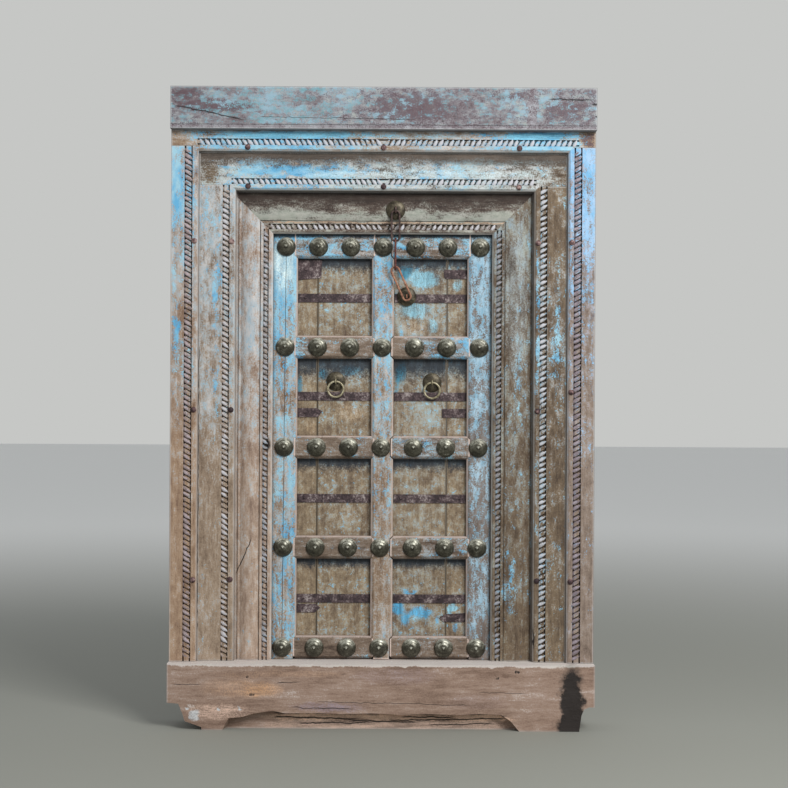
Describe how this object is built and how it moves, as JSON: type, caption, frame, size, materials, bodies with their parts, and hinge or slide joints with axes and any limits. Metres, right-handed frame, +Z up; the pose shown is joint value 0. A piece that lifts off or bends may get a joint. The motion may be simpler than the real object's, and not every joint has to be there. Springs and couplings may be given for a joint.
{
  "type": "carved double-leaf door with frame",
  "caption": "Timber double-leaf door in a carved stepped frame with rope mouldings, domed bosses, iron straps, ring pulls and a chain that hooks the leaf to the lintel.",
  "frame": {"origin": "on the floor, at the middle of the door's width and depth, under the sill", "axes": "+Z up; the carved face looks along -Y and the leaves open towards +Y; +X is to the right for someone facing the carved side"},
  "size_m": [1.328, 0.17, 2],
  "materials": {
    "beam_timber": "worn turquoise paint over brown timber",
    "sill_timber": "bare worn timber",
    "outer_timber": "worn sky-blue paint over pale brown timber",
    "middle_timber": "worn sky-blue paint over pale brown timber",
    "inner_timber": "bare brown timber with remains of blue paint",
    "leaf_timber": "streaky remains of sky-blue paint on brown timber",
    "board_timber": "grey-green weathered timber with remains of blue paint",
    "boss_metal": "dark bronze patina, rubbed on the high parts",
    "plate_metal": "dark bronze patina",
    "ring_metal": "dull aged brass",
    "chain_iron": "rust-brown forged iron",
    "strap_iron": "dark rust-brown forged iron",
    "nail_iron": "rusted forged iron"
  },
  "bodies": {
    "door_frame": {"frame_nails": "nail_iron", "head_beam": "beam_timber", "inner_head": "inner_timber", "inner_jamb_left": "inner_timber", "inner_jamb_right": "inner_timber", "lintel_plate": "plate_metal", "lintel_staple": "chain_iron", "middle_head": "middle_timber", "middle_jamb_left": "middle_timber", "middle_jamb_right": "middle_timber", "outer_head": "outer_timber", "outer_jamb_left": "outer_timber", "outer_jamb_right": "outer_timber", "sill": "sill_timber"},
    "leaf_left": {"bosses_left": "boss_metal", "centre_post": "leaf_timber", "hanging_stile_left": "leaf_timber", "narrow_board_left": "board_timber", "rail_left_1": "leaf_timber", "rail_left_2": "leaf_timber", "rail_left_3": "leaf_timber", "rail_left_4": "leaf_timber", "rail_left_5": "leaf_timber", "ring_plate_left": "plate_metal", "ring_staple_left": "chain_iron", "strap_ends_left": "strap_iron", "strap_nails_left": "nail_iron", "straps_left": "strap_iron", "wide_board_left": "board_timber"},
    "leaf_right": {"bosses_right": "boss_metal", "catch_plate": "plate_metal", "catch_staple": "chain_iron", "hanging_stile_right": "leaf_timber", "narrow_board_right": "board_timber", "rail_right_1": "leaf_timber", "rail_right_2": "leaf_timber", "rail_right_3": "leaf_timber", "rail_right_4": "leaf_timber", "rail_right_5": "leaf_timber", "ring_plate_right": "plate_metal", "ring_staple_right": "chain_iron", "strap_ends_right": "strap_iron", "strap_nails_right": "nail_iron", "straps_right": "strap_iron", "wide_board_right": "board_timber"},
    "ring_left": {"ring_left": "ring_metal"},
    "ring_right": {"ring_right": "ring_metal"},
    "chain_link_1": {"chain_link_1": "chain_iron"},
    "chain_link_2": {"chain_link_2": "chain_iron"},
    "chain_link_3": {"chain_link_3": "chain_iron"}
  },
  "joints": [
    {"name": "leaf_right_hinge", "type": "hinge", "parent": "door_frame", "child": "leaf_right", "pos_m": [0.334, 0.044, 0.885], "axis": [0, 0, -1], "range_deg": [0, 90]},
    {"name": "leaf_left_hinge", "type": "hinge", "parent": "door_frame", "child": "leaf_left", "pos_m": [-0.337, 0.044, 0.885], "axis": [0, 0, 1], "range_deg": [0, 67.5]},
    {"name": "ring_left_swing", "type": "hinge", "parent": "leaf_left", "child": "ring_left", "pos_m": [-0.1485, 0.0304, 1.0839], "axis": [-1, 0, 0], "range_deg": [0, 120]},
    {"name": "ring_right_swing", "type": "hinge", "parent": "leaf_right", "child": "ring_right", "pos_m": [0.157, 0.0304, 1.0812], "axis": [-1, 0, 0], "range_deg": [0, 120]},
    {"name": "chain_link_1_swing", "type": "hinge", "parent": "door_frame", "child": "chain_link_1", "pos_m": [0.0385, -0.0177, 1.6206], "axis": [-1, 0, 0], "range_deg": [0, 60]},
    {"name": "chain_link_2_swing", "type": "hinge", "parent": "chain_link_1", "child": "chain_link_2", "pos_m": [0.0385, -0.01356, 1.52569], "axis": [-1, 0, 0], "range_deg": [0, 45]},
    {"name": "chain_link_3_swing", "type": "hinge", "parent": "chain_link_2", "child": "chain_link_3", "pos_m": [0.0385, -0.00366, 1.4451], "axis": [-1, 0, 0], "range_deg": [0, 45]}
  ],
  "couplings": [
    {"joint": "leaf_left_hinge", "follows": "leaf_right_hinge", "ratio": 0.75}
  ]
}
